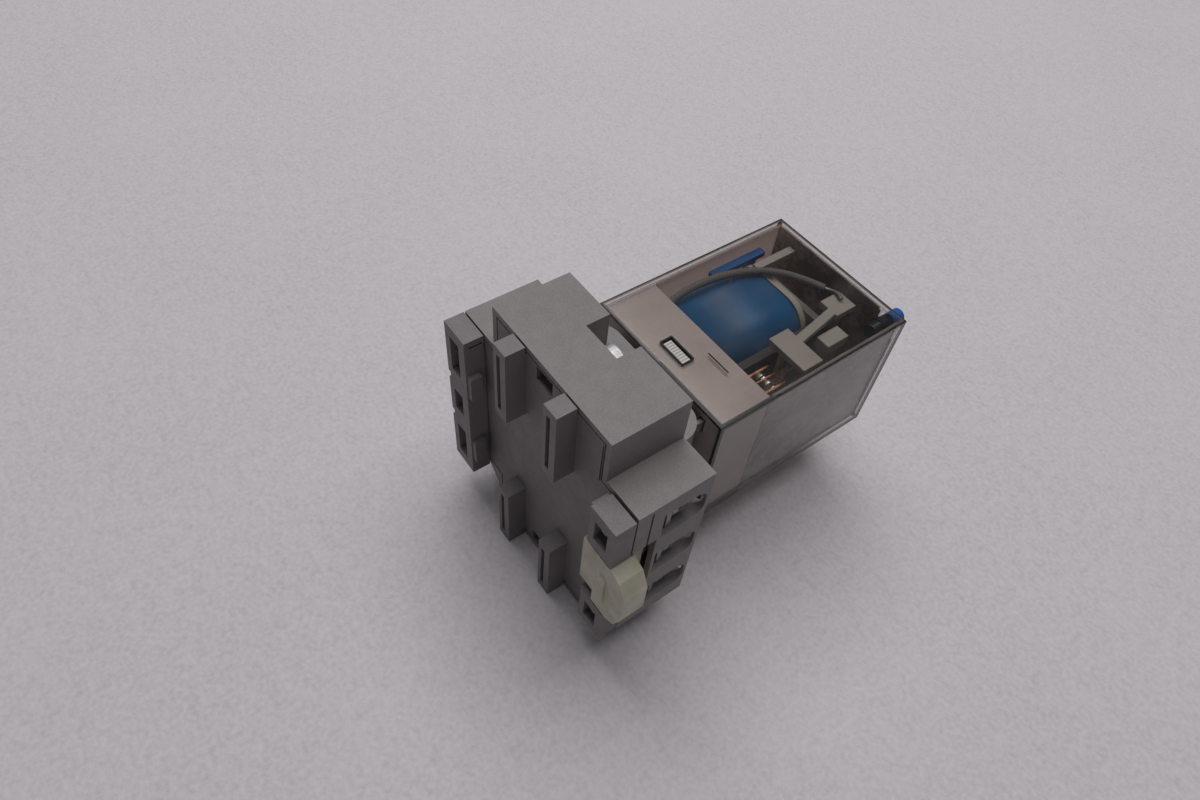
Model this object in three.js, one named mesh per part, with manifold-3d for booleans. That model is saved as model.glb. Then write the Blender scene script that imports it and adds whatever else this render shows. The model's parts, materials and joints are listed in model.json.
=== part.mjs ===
// Plug-in industrial relay in its DIN-rail socket, lying with one slab of the socket down.
// Millimetres. X runs from the fixed rail hook to the sliding clip.
// Y runs from the rail to the relay's far end, and Z up.

import * as THREE from 'three';
import { mergeVertices } from 'three/addons/utils/BufferGeometryUtils.js';
import Module from 'manifold-3d';

const wasm = await Module();
wasm.setup();

// ---------------------------------------------------------------- driving dimensions

const GAP = 0.3;                 // clearance between pieces that touch
const THROUGH = 0.5;             // how far a cutter passes a face
const SIDES = [1, -1];           // upper and lower half, or clip and hook end

// socket housing
const BODY_LEFT = -15.4;
const BODY_RIGHT = 16.8;
const BODY_HEIGHT = 57.3;
const BODY_DEPTH = 15;
const END_REACH = 24.8;          // outer faces of both end blocks
const END_LOW = 9.3;
const END_HIGH = 48;
const MIDDLE = BODY_HEIGHT / 2;
const WALL = 1.2;
const CAVITY_DEPTH = 7.4;        // rear cavity that holds the contact strips
const TOWER_HALF_WIDTH = 15;
const TOWER_LOW = 15.2;
const TOWER_HIGH = 42.8;
const TOWER_END = 23;
const TOWER_ROUND = 5;

// rail side
const PLATE_THICKNESS = 2.4;
const RAIL_LEFT = -18.2;         // rail slot, 36 mm for a 35 mm rail
const RAIL_RIGHT = 17.8;
const HOOK_DEPTH = 4.2;
const RIB_HEIGHT = 4;
const RIB_WIDTH = 3.5;
const RIB_LENGTH = 16.9;
const RIB_X = 7;
const CLIP_LOW = 20.5;
const CLIP_HIGH = 37.1;
const CLIP_NOSE_REACH = 29;
const CLIP_PULL_HEIGHT = 0.4;    // how far the clip's grip stands over the hook's face

// terminals
const ROW_PITCH = 12;
const END_TERMINAL_X = 20.7;
const SLAB_TERMINAL_Z = 21.9;    // from the middle height
const STRIP_Y = 6;
const STRIP_THICKNESS = 0.9;
const SLAB_PAD_LIFT = 3.4;
const RUN_HALF_WIDTH = 1.4;
const PAD_HALF = 2.9;
const SCREW_HEAD_RADIUS = 3.1;
const SCREW_HEAD_HEIGHT = 2.3;
const SCREW_RADIUS = 1.5;
const SCREW_HOLE_RADIUS = 1.85;
const WASHER_HALF = 3.15;
const WASHER_THICKNESS = 1;
const POCKET_HALF_HEIGHT = 3.3;
const POCKET_NEAR = 5.6;
const POCKET_FAR = 14.4;

// relay
const RELAY_HALF_WIDTH = 17.15;
const RELAY_LOW = 14;
const RELAY_HIGH = 44;
const RELAY_NEAR = 23.6;
const RELAY_FAR = 70;
const RELAY_MIDDLE = (RELAY_LOW + RELAY_HIGH) / 2;
const COVER_WALL = 0.6;
const COLLAR_WALL = 1.3;
const COLLAR_END = 36;
const BASE_FLOOR_END = 27;
const LATCH = { left: -3.75, right: 2.6, near: 27.2, far: 29.9 };
const POLE_OFFSET = 6.5;         // each pole's middle from the relay's middle height
const PIN_END = 14.6;
const PIN_HALF_HEIGHT = 1.4;
const BLADE_THICKNESS = 0.8;
const PANEL_THICKNESS = 0.3;     // linings of the cover
const PANEL_MARGIN = 1.1;        // from the cover's inside to a lining's long edges

// magnet
const FLANGE_THICKNESS = 1.3;
const FLANGE_STEP = 0.35;        // how far a bobbin flange stands over the winding
const COIL = { left: -15.1, right: 3.7, low: 17.6, high: 40.4, near: 38.6, far: 57.6, round: 6 };
const CORE_X = (COIL.left + COIL.right) / 2;
const CORE_RADIUS = 3.6;
const YOKE_LEFT = 4.5;
const YOKE_THICKNESS = 1.8;
const ARMATURE_NEAR = 61.6;
const ARMATURE_THICKNESS = 1.5;

// contacts
const CONTACTS = {
  normally_closed: { x: 7.85, rivet: [8.25, 8.6], pinShift: -4.2 },
  common: { x: 9.8, rivet: [8.95, 10.65], pinShift: 0 },
  normally_open: { x: 12.4, rivet: [11.6, 12.1], pinShift: 4.2 },
};
const SPRING_THICKNESS = 0.3;
const MOVING_SPRING_FOOT = 37.7;
const STRIP_HALF_WIDTH = 2.2;
const RIVET_Y = 43;
const RIVET_RADIUS = 1.4;

// contact carrier
const CARRIER_TOP = 42.3;
const CARRIER_THICKNESS = 1.4;
const CROSSBAR = { left: 5.4, right: 14.7, near: 45.9, far: 50.8 };
const STEM_WIDTH = 1.9;

// test button
const BUTTON_X = 13.8;
const BUTTON_Z = 41.1;
const BUTTON_RADIUS = 1.55;
const BUTTON_NEAR = 64.5;
const BUTTON_END = 72.8;
const BUTTON_COLLAR = { radius: 1.9, near: 66.7, far: 67.7 };

// ---------------------------------------------------------------- finishes

function finish(color, roughness, metalness = 0) {
  return new THREE.MeshStandardMaterial({ color, roughness, metalness });
}

const FINISHES = {
  socket: finish(0x767371, 0.6),
  railPlate: finish(0x73706e, 0.62),
  clip: finish(0xb4b49c, 0.45),
  relayBase: finish(0x8d837f, 0.5),
  cover: finish(0xd9dde0, 0.08),
  panel: finish(0x8f8783, 0.6),
  darkPanel: finish(0x4a4440, 0.5),
  bluePlastic: finish(0x2d64b4, 0.4),
  coil: finish(0x305273, 0.5),
  palePlastic: finish(0xb9b4a6, 0.45),
  steel: finish(0xa7a7a5, 0.35, 1),
  copper: finish(0xb4785f, 0.3, 1),
  leadSleeve: finish(0x8f8c86, 0.7),
};

// ---------------------------------------------------------------- solids

// A closed geometry becomes a solid once its shared vertices are merged.
function solid(geometry) {
  geometry.deleteAttribute('normal');
  geometry.deleteAttribute('uv');
  const merged = mergeVertices(geometry, 1e-4);
  return new wasm.Manifold(new wasm.Mesh({
    numProp: 3,
    vertProperties: new Float32Array(merged.attributes.position.array),
    triVerts: new Uint32Array(merged.index.array),
  }));
}

function toGeometry(shape) {
  const mesh = shape.getMesh();
  const geometry = new THREE.BufferGeometry();
  geometry.setAttribute('position', new THREE.BufferAttribute(new Float32Array(mesh.vertProperties), 3));
  geometry.setIndex(new THREE.BufferAttribute(new Uint32Array(mesh.triVerts), 1));
  geometry.computeVertexNormals();
  return geometry;
}

// Box from its lowest to its highest corner.
function box(x0, x1, y0, y1, z0, z1) {
  const geometry = new THREE.BoxGeometry(x1 - x0, y1 - y0, z1 - z0);
  geometry.translate((x0 + x1) / 2, (y0 + y1) / 2, (z0 + z1) / 2);
  return solid(geometry);
}

// Box between any two opposite corners, in any order.
function boxBetween([xa, ya, za], [xb, yb, zb]) {
  return box(
    Math.min(xa, xb), Math.max(xa, xb),
    Math.min(ya, yb), Math.max(ya, yb),
    Math.min(za, zb), Math.max(za, zb),
  );
}

// Cylinder along Y.
function rodY(x, z, radius, y0, y1, segments = 24) {
  const geometry = new THREE.CylinderGeometry(radius, radius, y1 - y0, segments);
  geometry.translate(x, (y0 + y1) / 2, z);
  return solid(geometry);
}

// Cylinder along X.
function rodX(y, z, radius, x0, x1, segments = 20) {
  const geometry = new THREE.CylinderGeometry(radius, radius, x1 - x0, segments);
  geometry.rotateZ(Math.PI / 2);
  geometry.translate((x0 + x1) / 2, y, z);
  return solid(geometry);
}

// Outline drawn in X and Z, given depth along Y.
function prismY(shape, y0, y1, curveSegments = 5) {
  const depth = y1 - y0;
  const geometry = new THREE.ExtrudeGeometry(shape, { depth, bevelEnabled: false, curveSegments });
  geometry.rotateX(Math.PI / 2);
  geometry.translate(0, y1, 0);
  return solid(geometry);
}

// Outline drawn in X and Y, given height along Z.
function prismZ(shape, z0, z1, curveSegments = 5) {
  const depth = z1 - z0;
  const geometry = new THREE.ExtrudeGeometry(shape, { depth, bevelEnabled: false, curveSegments });
  geometry.translate(0, 0, z0);
  return solid(geometry);
}

function polygon(points) {
  return new THREE.Shape(points.map(([u, v]) => new THREE.Vector2(u, v)));
}

function roundedRectangle(u0, u1, v0, v1, radius) {
  const shape = new THREE.Shape();
  shape.moveTo(u0 + radius, v0);
  shape.lineTo(u1 - radius, v0);
  shape.absarc(u1 - radius, v0 + radius, radius, -Math.PI / 2, 0);
  shape.lineTo(u1, v1 - radius);
  shape.absarc(u1 - radius, v1 - radius, radius, 0, Math.PI / 2);
  shape.lineTo(u0 + radius, v1);
  shape.absarc(u0 + radius, v1 - radius, radius, Math.PI / 2, Math.PI);
  shape.lineTo(u0, v0 + radius);
  shape.absarc(u0 + radius, v0 + radius, radius, Math.PI, Math.PI * 1.5);
  return shape;
}

function join(pieces) {
  return pieces.reduce((whole, piece) => whole.add(piece));
}

function cut(whole, cutters) {
  return cutters.reduce((rest, cutter) => rest.subtract(cutter), whole);
}

const assembly = new THREE.Group();

function addPiece(name, shape, material) {
  const mesh = new THREE.Mesh(toGeometry(shape), material);
  mesh.name = name;
  assembly.add(mesh);
}

// ---------------------------------------------------------------- terminals: where they are

const ROWS = [1, 0, -1];

function rowHeight(row) {
  return MIDDLE + row * ROW_PITCH;
}

// Each terminal feeds one relay pin. Its screw stands along Y at x, z.
const endTerminals = SIDES.flatMap((side) => ROWS.map((row) => ({
  name: `${side > 0 ? 'clip' : 'hook'}_end_${['lower', 'middle', 'upper'][row + 1]}`,
  x: side * END_TERMINAL_X,
  z: rowHeight(row),
  side,
  padY: STRIP_Y,
})));

const slabTerminals = SIDES.map((side) => ({
  name: `slab_${side > 0 ? 'upper' : 'lower'}`,
  x: 0,
  z: MIDDLE + side * SLAB_TERMINAL_Z,
  side,
  padY: STRIP_Y + SLAB_PAD_LIFT,
}));

const terminals = [...endTerminals, ...slabTerminals];

function poleHeight(pole) {
  return RELAY_MIDDLE + pole * POLE_OFFSET;
}

function pinHeight(kind, pole) {
  return poleHeight(pole) + pole * CONTACTS[kind].pinShift;
}

const COIL_PIN_X = -8;

const pins = SIDES.flatMap((pole) => [
  ...Object.keys(CONTACTS).map((kind) => ({ kind, pole, x: CONTACTS[kind].x, z: pinHeight(kind, pole) })),
  { kind: 'coil', pole, x: COIL_PIN_X, z: poleHeight(pole) },
]);

// ---------------------------------------------------------------- socket housing

function crossOutline(left, right, bottom, top, reach, low, high) {
  return polygon([
    [left, bottom], [right, bottom], [right, low], [reach, low], [reach, high], [right, high],
    [right, top], [left, top], [left, high], [-reach, high], [-reach, low], [left, low],
  ]);
}

function housingOutline() {
  const corner = 3.4;
  return polygon([
    [BODY_LEFT, 0], [BODY_RIGHT, 0], [BODY_RIGHT, END_LOW], [END_REACH, END_LOW],
    [END_REACH, END_HIGH], [BODY_RIGHT, END_HIGH], [BODY_RIGHT, BODY_HEIGHT], [BODY_LEFT, BODY_HEIGHT],
    [BODY_LEFT, END_HIGH], [-END_REACH, END_HIGH], [-END_REACH, END_LOW],
    [BODY_LEFT - corner, END_LOW], [BODY_LEFT, END_LOW - corner],
  ]);
}

function rearOutline(inset) {
  return crossOutline(
    BODY_LEFT + inset, BODY_RIGHT - inset, inset, BODY_HEIGHT - inset,
    END_REACH - inset, END_LOW + inset, END_HIGH - inset,
  );
}

// Wire-entry pocket in an end face, with its two far corners round.
function wirePocket(side, z) {
  const behindWall = 0.6;
  const depth = END_REACH - BODY_RIGHT + behindWall;
  const inner = side * (END_REACH - depth);
  const outer = side * (END_REACH + THROUGH);
  const round = 2.4;
  const shape = new THREE.Shape();
  shape.moveTo(POCKET_NEAR, z - POCKET_HALF_HEIGHT);
  shape.lineTo(POCKET_FAR - round, z - POCKET_HALF_HEIGHT);
  shape.absarc(POCKET_FAR - round, z - POCKET_HALF_HEIGHT + round, round, -Math.PI / 2, 0);
  shape.lineTo(POCKET_FAR, z + POCKET_HALF_HEIGHT - round);
  shape.absarc(POCKET_FAR - round, z + POCKET_HALF_HEIGHT - round, round, 0, Math.PI / 2);
  shape.lineTo(POCKET_NEAR, z + POCKET_HALF_HEIGHT);
  const width = Math.abs(outer - inner);
  const geometry = new THREE.ExtrudeGeometry(shape, { depth: width, bevelEnabled: false, curveSegments: 5 });
  geometry.rotateY(Math.PI / 2);
  geometry.rotateX(Math.PI / 2);
  geometry.translate(Math.min(inner, outer), 0, 0);
  return solid(geometry);
}

// Notch in a slab's far edge, over the terminal that stands in it.
function slabNotch({ z, side }) {
  const openHalf = 4.05;
  const openNear = 10.3;
  const wellHalf = 3.55;
  const outside = side > 0 ? BODY_HEIGHT + THROUGH : -THROUGH;
  const inside = z - side * 4.4;
  const open = boxBetween([-openHalf, openNear, inside], [openHalf, BODY_DEPTH + THROUGH, outside]);
  const wellNear = CAVITY_DEPTH - THROUGH;
  const well = box(-wellHalf, wellHalf, wellNear, openNear + THROUGH, z - wellHalf, z + wellHalf);
  return open.add(well);
}

function pinSlot({ x, z }) {
  const halfWidth = 1.5;
  const halfHeight = PIN_HALF_HEIGHT + 0.5;
  return box(
    x - halfWidth, x + halfWidth, CAVITY_DEPTH - THROUGH, TOWER_END + THROUGH, z - halfHeight, z + halfHeight,
  );
}

function towerShape() {
  const foot = BODY_DEPTH - 1;
  const arcX = TOWER_HALF_WIDTH - TOWER_ROUND;
  const arcY = TOWER_END - TOWER_ROUND;
  const outline = new THREE.Shape();
  outline.moveTo(-TOWER_HALF_WIDTH, foot);
  outline.lineTo(TOWER_HALF_WIDTH, foot);
  outline.lineTo(TOWER_HALF_WIDTH, arcY);
  outline.absarc(arcX, arcY, TOWER_ROUND, 0, Math.PI / 2);
  outline.lineTo(-arcX, TOWER_END);
  outline.absarc(-arcX, arcY, TOWER_ROUND, Math.PI / 2, Math.PI);
  return prismZ(outline, TOWER_LOW, TOWER_HIGH, 8);
}

function socketBody() {
  const seamDepth = 0.7;
  const endSeam = box(END_REACH - seamDepth, END_REACH + THROUGH, 2.7, 3.1, MIDDLE + 4.8, END_HIGH - 1);
  const clipDoor = box(
    END_REACH - WALL - THROUGH, END_REACH + THROUGH, -THROUGH, 4.9, CLIP_LOW - GAP, CLIP_HIGH + GAP,
  );
  const wellRadius = SCREW_HEAD_RADIUS + 0.35;
  const wellFar = BODY_DEPTH + THROUGH;
  const screwWells = endTerminals.map(({ x, z }) => rodY(x, z, wellRadius, POCKET_NEAR, wellFar));
  const hull = prismY(housingOutline(), 0, BODY_DEPTH).add(towerShape());
  return cut(hull, [
    prismY(rearOutline(WALL), -THROUGH, CAVITY_DEPTH),
    ...endTerminals.map(({ side, z }) => wirePocket(side, z)),
    ...screwWells,
    ...slabTerminals.map(slabNotch),
    ...pins.map(pinSlot),
    endSeam,
    clipDoor,
  ]);
}

addPiece('socket_body', socketBody(), FINISHES.socket);

// ---------------------------------------------------------------- rail plate

// Rib that stands on the rail face, with a narrow slot along its crest and a foot in the plate.
function rib(x, side) {
  const outer = side > 0 ? BODY_HEIGHT : 0;
  const inner = outer - side * RIB_LENGTH;
  const half = RIB_WIDTH / 2;
  const block = boxBetween([x - half, -RIB_HEIGHT, outer], [x + half, -GAP, inner]);
  const footOuter = side > 0 ? BODY_HEIGHT - 2 : 2;
  const foot = boxBetween([x - half, -1, footOuter], [x + half, 1, inner]);
  const slotMiddle = x - 0.35;
  const slotHalf = 0.5;
  const slotInset = side * 1.8;
  const slot = boxBetween(
    [slotMiddle - slotHalf, -RIB_HEIGHT - THROUGH, outer - slotInset],
    [slotMiddle + slotHalf, -1.5, inner + slotInset],
  );
  return block.add(foot).subtract(slot);
}

// Fixed hook: a block with recesses in its rail face and two teeth that hold the rail's edge.
function fixedHook() {
  const front = -HOOK_DEPTH - THROUGH;
  const block = box(-END_REACH, RAIL_LEFT, -HOOK_DEPTH, -GAP, END_LOW, END_HIGH);
  const recess = ([low, high]) => box(-END_REACH + 1.6, RAIL_LEFT - 2.1, front, -1, low, high);
  const sideNotch = (z) => box(-END_REACH - THROUGH, -END_REACH + 0.7, front, 0, z - 0.9, z + 0.9);
  const tooth = ([low, high]) => box(RAIL_LEFT - 0.5, RAIL_LEFT + 1.1, -3.9, -1.5, low, high);
  const grooveHigh = END_HIGH - 1.4;
  const lipGroove = box(RAIL_LEFT - 0.5, RAIL_LEFT + THROUGH, -3.3, -0.6, grooveHigh - 0.5, grooveHigh);
  const recesses = [[37, 45.5], [25.8, 31.4], [12, 20.6]].map(recess);
  const sideNotches = [34.2, 23].map(sideNotch);
  const teeth = [[33.5, 39.3], [14, 20]].map(tooth);
  return cut(block, [...recesses, ...sideNotches, lipGroove]).add(join(teeth));
}

// Guide beside the clip: a hollow block with a thin back plate.
function clipGuide(low, high) {
  const left = RAIL_RIGHT + 0.8;
  const middle = (low + high) / 2;
  const block = box(left, END_REACH, -HOOK_DEPTH, -GAP, low, high);
  const backPlate = box(RAIL_RIGHT, left + 0.4, -3.5, -GAP, low, high - 0.8);
  const hole = box(left + 1.4, END_REACH - 1.7, -HOOK_DEPTH - THROUGH, -0.9, middle - 2.6, middle + 2.3);
  const key = box(left + 3, left + 4, -4.1, -1, middle + 1.7, middle + 2.6);
  return block.add(backPlate).subtract(hole).add(key);
}

function plateWindow(side) {
  const outer = MIDDLE + side * (MIDDLE - 1.8);
  const inner = outer - side * 3.1;
  return boxBetween([-2.5, -THROUGH, outer], [1.9, PLATE_THICKNESS + THROUGH, inner]);
}

function railPlate() {
  const slab = prismY(rearOutline(WALL + GAP), 0, PLATE_THICKNESS);
  const slit = box(14.9, 15.15, -THROUGH, 1.2, 46, BODY_HEIGHT - WALL - 1);
  const clipBay = box(
    RAIL_RIGHT + GAP, END_REACH + THROUGH, -HOOK_DEPTH - 1, 3, CLIP_LOW - GAP, CLIP_HIGH + GAP,
  );
  const footInset = 2;
  const hookFoot = box(-END_REACH + 2.2, RAIL_LEFT - 0.4, -1, 1, END_LOW + footInset, END_HIGH - footInset);
  const guideFoot = ([low, high]) => box(RAIL_RIGHT + 0.6, END_REACH - 2.2, -1, 1, low, high);
  const guideFeet = [
    [END_LOW + footInset, CLIP_LOW - 0.5],
    [CLIP_HIGH + 0.5, END_HIGH - footInset],
  ].map(guideFoot);
  const ribs = [-RIB_X, RIB_X].flatMap((x) => SIDES.map((side) => rib(x, side)));
  const plate = join([slab, hookFoot, ...guideFeet, ...ribs]);
  return cut(plate, [...SIDES.map(plateWindow), slit, clipBay])
    .add(fixedHook())
    .add(clipGuide(END_LOW + 1, CLIP_LOW - GAP))
    .add(clipGuide(CLIP_HIGH + GAP, END_HIGH - 0.6));
}

addPiece('rail_plate', railPlate(), FINISHES.railPlate);

// ---------------------------------------------------------------- sliding rail clip

// Plate with a hooked nose outside, a tooth that holds the rail, and a springy forked tail inside.
function railClip() {
  const low = CLIP_LOW + 0.2;
  const high = CLIP_HIGH - 0.2;
  const middle = (low + high) / 2;
  const plateFar = 4.2;
  const noseLeft = 21.4;
  const heel = box(RAIL_RIGHT + 0.7, END_REACH - 1.6, -1.7, plateFar, low, high);
  const tooth = box(RAIL_RIGHT - 0.7, noseLeft + 0.1, -3.6, -1.4, middle - 6.5, middle + 6.5);
  const nose = prismY(polygon([
    [noseLeft, low], [25.6, low], [27.6, low + 1.2], [CLIP_NOSE_REACH, low + 5.2],
    [CLIP_NOSE_REACH, high - 4.2], [27.3, high - 0.9], [25, high], [noseLeft, high],
  ]), -HOOK_DEPTH, 0.6);
  const grip = box(22.6, 24.4, -HOOK_DEPTH - CLIP_PULL_HEIGHT, -3, middle - 3.6, middle + 3.6);
  const tail = box(4, RAIL_RIGHT + 1.2, PLATE_THICKNESS + 0.4, plateFar, middle - 6, middle + 6);
  const springSlots = SIDES.map((side) => boxBetween(
    [6, 2, middle + side * 1.5],
    [15, plateFar + THROUGH, middle + side * 4],
  ));
  return cut(join([heel, tooth, nose, grip, tail]), springSlots);
}

addPiece('rail_clip', railClip(), FINISHES.clip);

// ---------------------------------------------------------------- terminal hardware

function terminalScrew({ x, z, padY }) {
  const headNear = padY + STRIP_THICKNESS + WASHER_THICKNESS + 2 * GAP;
  const headFar = headNear + SCREW_HEAD_HEIGHT;
  const slotDepth = 1;
  const slotHalf = 0.45;
  const head = rodY(x, z, SCREW_HEAD_RADIUS, headNear, headFar);
  const shank = rodY(x, z, SCREW_RADIUS, padY - 0.8, headNear + 0.2, 14);
  const driverSlot = box(x - 4, x + 4, headFar - slotDepth, headFar + THROUGH, z - slotHalf, z + slotHalf);
  return head.add(shank).subtract(driverSlot);
}

function clampWasher({ x, z, padY }) {
  const half = WASHER_HALF;
  const near = padY + STRIP_THICKNESS + GAP;
  const plate = box(x - half, x + half, near, near + WASHER_THICKNESS, z - half, z + half);
  return plate.subtract(rodY(x, z, SCREW_HOLE_RADIUS, near - 1, near + 2, 14));
}

terminals.forEach((terminal) => {
  addPiece(`screw_${terminal.name}`, terminalScrew(terminal), FINISHES.steel);
  addPiece(`washer_${terminal.name}`, clampWasher(terminal), FINISHES.steel);
});

// Flat run of a contact strip between two points in X and Z.
function stripRun([x0, z0], [x1, z1]) {
  const half = RUN_HALF_WIDTH;
  return box(
    Math.min(x0, x1) - half, Math.max(x0, x1) + half, STRIP_Y, STRIP_Y + STRIP_THICKNESS,
    Math.min(z0, z1) - half, Math.max(z0, z1) + half,
  );
}

// Fork that grips a relay blade from both sides.
function bladeFork(pin) {
  const leafHalf = 0.25;
  const leafEnd = 20;
  const reach = BLADE_THICKNESS / 2 + GAP + leafHalf;
  const leaf = (x) => box(x - leafHalf, x + leafHalf, STRIP_Y + 0.2, leafEnd, pin.z - 1.3, pin.z + 1.3);
  return leaf(pin.x - reach).add(leaf(pin.x + reach));
}

// Pad under the screw. A slab's pad stands higher than the strip, on a riser.
function terminalPad({ x, z, side, padY }) {
  const half = PAD_HALF;
  const pad = box(x - half, x + half, padY, padY + STRIP_THICKNESS, z - half, z + half);
  if (padY === STRIP_Y) {
    return pad;
  }
  const edge = z - side * half;
  const riser = boxBetween(
    [x - RUN_HALF_WIDTH, STRIP_Y, edge],
    [x + RUN_HALF_WIDTH, padY + 0.2, edge + side * STRIP_THICKNESS],
  );
  return pad.add(riser);
}

// Route of each strip from its pin to its terminal, as corners in X and Z.
const stripRoutes = [
  { name: 'clip_end_upper', kind: 'normally_open', pole: 1 },
  { name: 'clip_end_middle', kind: 'normally_closed', pole: 1 },
  { name: 'clip_end_lower', kind: 'normally_open', pole: -1 },
  { name: 'hook_end_upper', kind: 'coil', pole: 1 },
  { name: 'hook_end_middle', kind: 'normally_closed', pole: -1 },
  { name: 'hook_end_lower', kind: 'coil', pole: -1 },
  { name: 'slab_upper', kind: 'common', pole: 1 },
  { name: 'slab_lower', kind: 'common', pole: -1 },
];

function contactStrip({ name, kind, pole }) {
  const terminal = terminals.find((candidate) => candidate.name === name);
  const pin = pins.find((candidate) => candidate.kind === kind && candidate.pole === pole);
  const slab = terminal.padY !== STRIP_Y;
  const cornerX = slab ? terminal.x : terminal.x - terminal.side * 3;
  const endZ = slab ? terminal.z - terminal.side * PAD_HALF : terminal.z;
  const runs = [stripRun([pin.x, pin.z], [cornerX, pin.z]), stripRun([cornerX, pin.z], [cornerX, endZ])];
  const strip = join([...runs, terminalPad(terminal), bladeFork(pin)]);
  return strip.subtract(rodY(terminal.x, terminal.z, SCREW_HOLE_RADIUS, STRIP_Y - 1, terminal.padY + 2, 14));
}

stripRoutes.forEach((route) => addPiece(`contact_strip_${route.name}`, contactStrip(route), FINISHES.copper));

// ---------------------------------------------------------------- relay base

// Latch of the base that snaps into a window of the cover.
function baseTongue(side) {
  const outer = RELAY_MIDDLE + side * (RELAY_HIGH - RELAY_MIDDLE - 0.6);
  const inner = RELAY_MIDDLE + side * (RELAY_HIGH - RELAY_MIDDLE - COVER_WALL - 1);
  return boxBetween(
    [LATCH.left + 0.55, LATCH.near + 0.35, outer],
    [LATCH.right - 0.35, LATCH.far - 0.65, inner],
  );
}

function bladeHole({ x, z }) {
  const halfHeight = PIN_HALF_HEIGHT + 0.4;
  return box(x - 0.7, x + 0.7, RELAY_NEAR, BASE_FLOOR_END + 1, z - halfHeight, z + halfHeight);
}

function relayBase() {
  const half = RELAY_HALF_WIDTH - COVER_WALL - GAP;
  const low = RELAY_LOW + COVER_WALL + GAP;
  const high = RELAY_HIGH - COVER_WALL - GAP;
  const outside = box(-half, half, RELAY_NEAR + 0.5, COLLAR_END, low, high);
  const inside = box(
    -half + COLLAR_WALL, half - COLLAR_WALL, BASE_FLOOR_END, COLLAR_END + THROUGH,
    low + COLLAR_WALL, high - COLLAR_WALL,
  );
  return cut(outside, [inside, ...pins.map(bladeHole)]).add(join(SIDES.map(baseTongue)));
}

addPiece('relay_base', relayBase(), FINISHES.relayBase);

// ---------------------------------------------------------------- relay cover

function relayCover() {
  const inner = RELAY_HALF_WIDTH - COVER_WALL;
  const outside = box(-RELAY_HALF_WIDTH, RELAY_HALF_WIDTH, RELAY_NEAR, RELAY_FAR, RELAY_LOW, RELAY_HIGH);
  const inside = box(
    -inner, inner, RELAY_NEAR - THROUGH, RELAY_FAR - COVER_WALL,
    RELAY_LOW + COVER_WALL, RELAY_HIGH - COVER_WALL,
  );
  const latchWindow = box(LATCH.left, LATCH.right, LATCH.near, LATCH.far, RELAY_LOW - 1, RELAY_HIGH + 1);
  const markDepth = 0.3;
  const markSlit = box(3, 8.4, 32.7, 33, RELAY_HIGH - markDepth, RELAY_HIGH + 1);
  const edgeNotch = box(
    RELAY_HALF_WIDTH - markDepth, RELAY_HALF_WIDTH + 1, 36.3, 37.3, RELAY_HIGH - markDepth, RELAY_HIGH + 1,
  );
  const buttonHole = rodY(BUTTON_X, BUTTON_Z, BUTTON_RADIUS + GAP, RELAY_FAR - 3, RELAY_FAR + 1);
  return cut(outside, [inside, latchWindow, markSlit, edgeNotch, buttonHole]);
}

addPiece('relay_cover', relayCover(), FINISHES.cover);

const PANEL_FACE = RELAY_HALF_WIDTH - COVER_WALL - GAP;
const PANEL_FAR = RELAY_FAR - COVER_WALL - GAP;

// Lining on the inside of one long wall of the cover.
function wallLining(side) {
  return boxBetween(
    [side * PANEL_FACE, COLLAR_END + GAP, RELAY_LOW + PANEL_MARGIN],
    [side * (PANEL_FACE - PANEL_THICKNESS), PANEL_FAR, RELAY_HIGH - PANEL_MARGIN],
  );
}

// Lining of the far wall, with one corner cut away for the test button.
function endPanel() {
  const near = PANEL_FAR - PANEL_THICKNESS;
  const half = PANEL_FACE - PANEL_THICKNESS - GAP;
  const reach = BUTTON_RADIUS + GAP;
  const panel = box(-half, half, near, PANEL_FAR, RELAY_LOW + PANEL_MARGIN, RELAY_HIGH - PANEL_MARGIN);
  return panel.subtract(box(BUTTON_X - reach, half + 1, near - 1, near + 2, BUTTON_Z - reach, RELAY_HIGH));
}

addPiece('side_panel', wallLining(-1), FINISHES.panel);
addPiece('label_panel', wallLining(1), FINISHES.panel);
addPiece('end_panel', endPanel(), FINISHES.darkPanel);

// ---------------------------------------------------------------- magnet

const BOBBIN_NEAR = COIL.near - GAP - FLANGE_THICKNESS;
const BOBBIN_FAR = COIL.far + GAP + FLANGE_THICKNESS;
const POLE_FACE = BOBBIN_FAR + 0.9;

function coilSection(grow, near, far) {
  const { left, right, low, high, round } = COIL;
  return prismY(roundedRectangle(left - grow, right + grow, low - grow, high + grow, round), near, far, 6);
}

function coilWinding() {
  const bore = rodY(CORE_X, RELAY_MIDDLE, CORE_RADIUS + 1.4, COIL.near - 1, COIL.far + 1, 28);
  return coilSection(0, COIL.near, COIL.far).subtract(bore);
}

// Bobbin: a tube with a flange at each end and an arm along the cover's top.
function coilBobbin() {
  const tube = rodY(CORE_X, RELAY_MIDDLE, CORE_RADIUS + 1.1, BOBBIN_NEAR, BOBBIN_FAR, 28);
  const bore = rodY(CORE_X, RELAY_MIDDLE, CORE_RADIUS + GAP, BOBBIN_NEAR - 1, BOBBIN_FAR + 1, 28);
  const flanges = [BOBBIN_NEAR, COIL.far + GAP].map(
    (near) => coilSection(FLANGE_STEP, near, near + FLANGE_THICKNESS),
  );
  const armFar = PANEL_FAR - PANEL_THICKNESS - GAP;
  const arm = box(-12, -10.3, BOBBIN_FAR - 1, armFar, COIL.high - 0.8, COIL.high + 0.6);
  return join([tube, ...flanges, arm]).subtract(bore);
}

function magnetCore() {
  return rodY(CORE_X, RELAY_MIDDLE, CORE_RADIUS, BOBBIN_NEAR, POLE_FACE, 28);
}

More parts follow.
